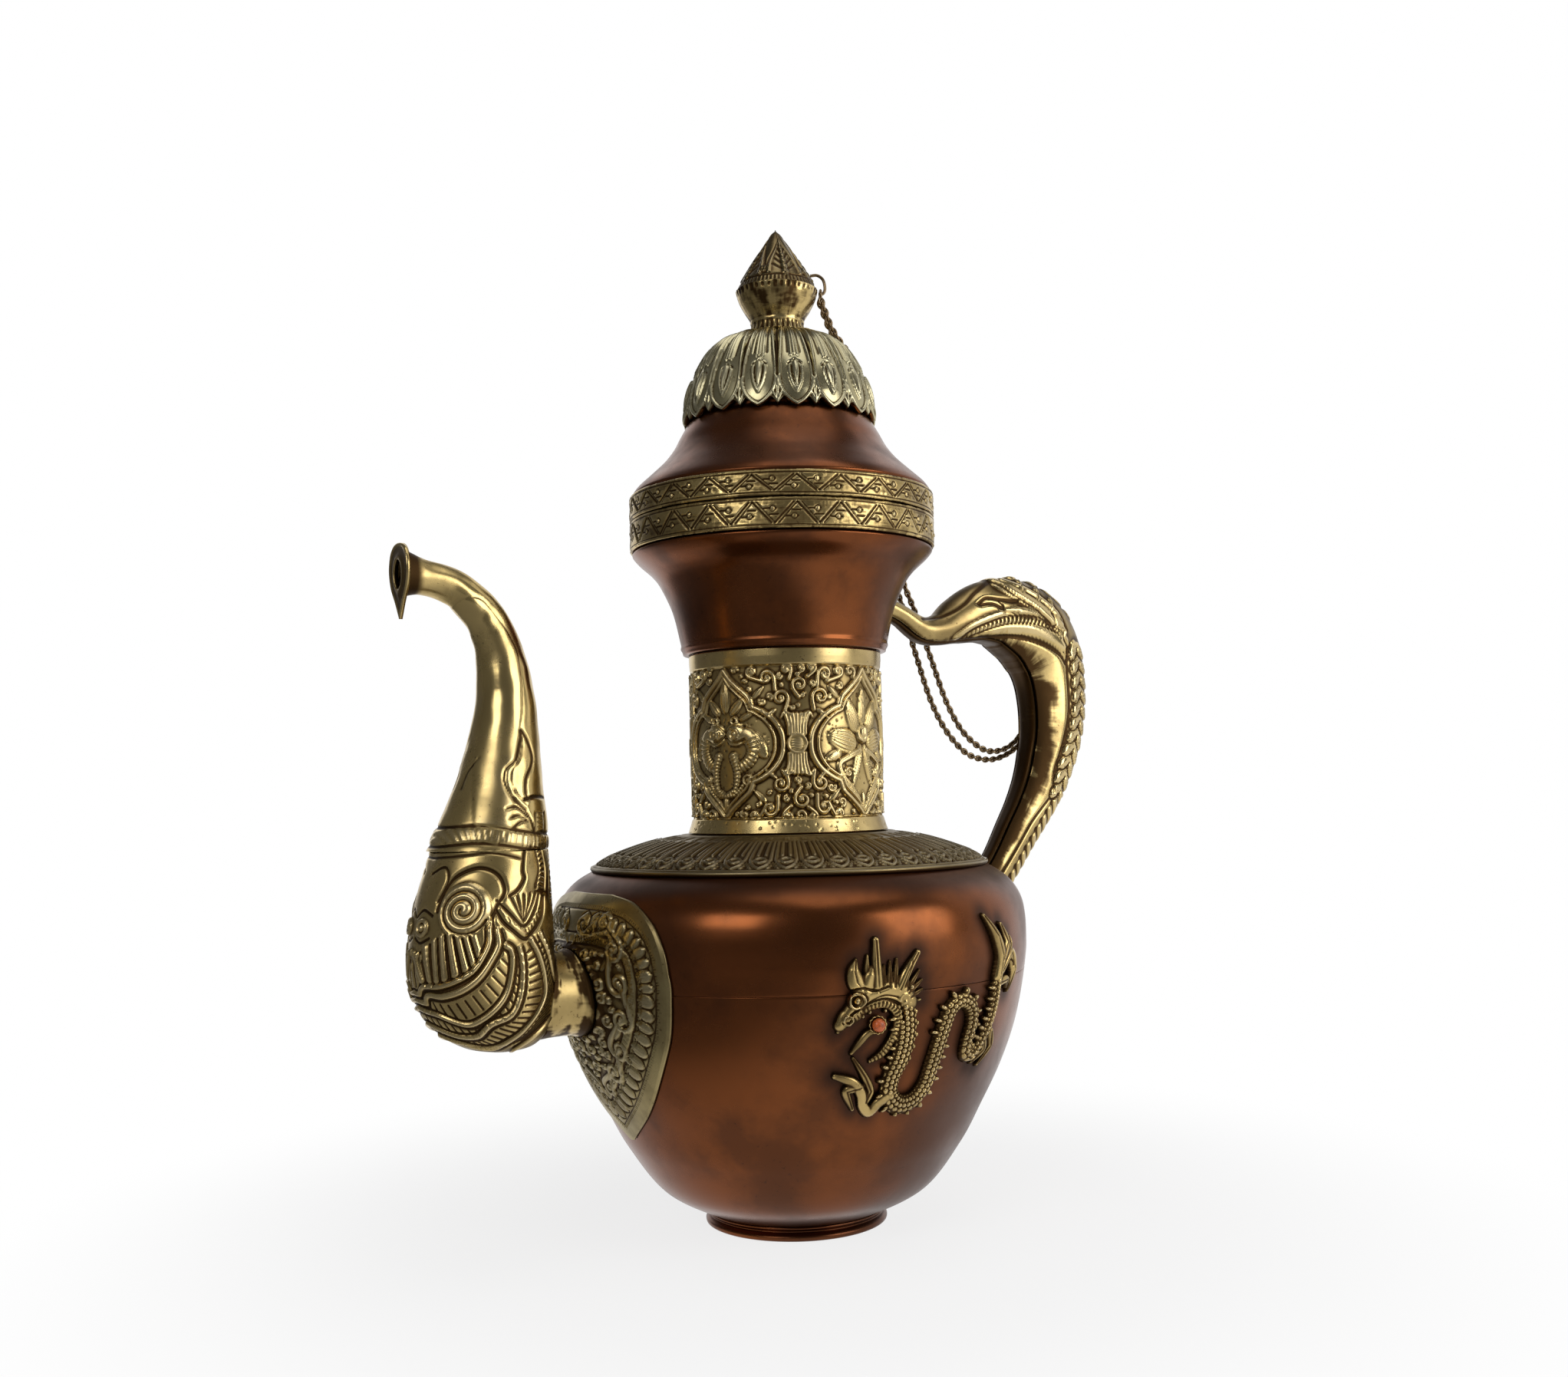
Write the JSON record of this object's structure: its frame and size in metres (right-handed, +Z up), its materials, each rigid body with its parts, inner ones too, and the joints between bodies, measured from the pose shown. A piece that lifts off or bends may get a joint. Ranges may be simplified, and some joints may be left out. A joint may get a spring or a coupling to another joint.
{
  "type": "ritual pitcher",
  "caption": "Tall footed metal pitcher with an upright curved spout, a beast-headed loop handle, and a domed lift-off lid tied to the handle by a chain.",
  "frame": {"origin": "on the pot's upright axis, at the level that its foot stands on", "axes": "+Z up along the pot's axis, spout towards -X, handle towards +X"},
  "size_m": [0.2847, 0.1678, 0.3516],
  "materials": {
    "copper": "polished copper with a darkened patina",
    "brass": "chased brass, dark in the hollows",
    "pale_brass": "pale silvery brass, chased",
    "dark_brass": "dull aged brass",
    "chain": "dark bronze",
    "coral": "polished orange coral bead"
  },
  "bodies": {
    "pot": {"foot_ring": "copper", "belly_lower": "copper", "belly_upper": "copper", "shoulder_collar": "dark_brass", "neck_tube": "copper", "neck_sleeve": "brass", "mouth_funnel": "copper", "mouth_band": "brass", "spout_plate": "pale_brass", "spout_collar": "brass", "spout_bulb": "brass", "spout_trunk": "brass", "spout_lip": "pale_brass", "handle_shell": "brass", "handle_inner_strip": "dark_brass", "handle_eye": "dark_brass", "dragon": "brass", "coral_cup": "brass", "coral_bead": "coral", "chain_strand_near": "chain", "chain_strand_far": "chain", "chain_end_ring": "chain"},
    "lid": {"lid_band": "brass", "lid_bell": "copper", "lid_flange": "dark_brass", "lid_dome": "pale_brass", "finial_cup": "brass", "finial_cone": "copper", "finial_rivet": "dark_brass", "finial_washer": "dark_brass", "finial_eye": "chain", "chain_top_ring": "chain"}
  },
  "joints": [
    {"name": "lid_lift", "type": "slide", "parent": "pot", "child": "lid", "axis": [0, 0, 1], "range_m": [0, 0.06], "deforming": ["chain_strand_near", "chain_strand_far"]}
  ]
}
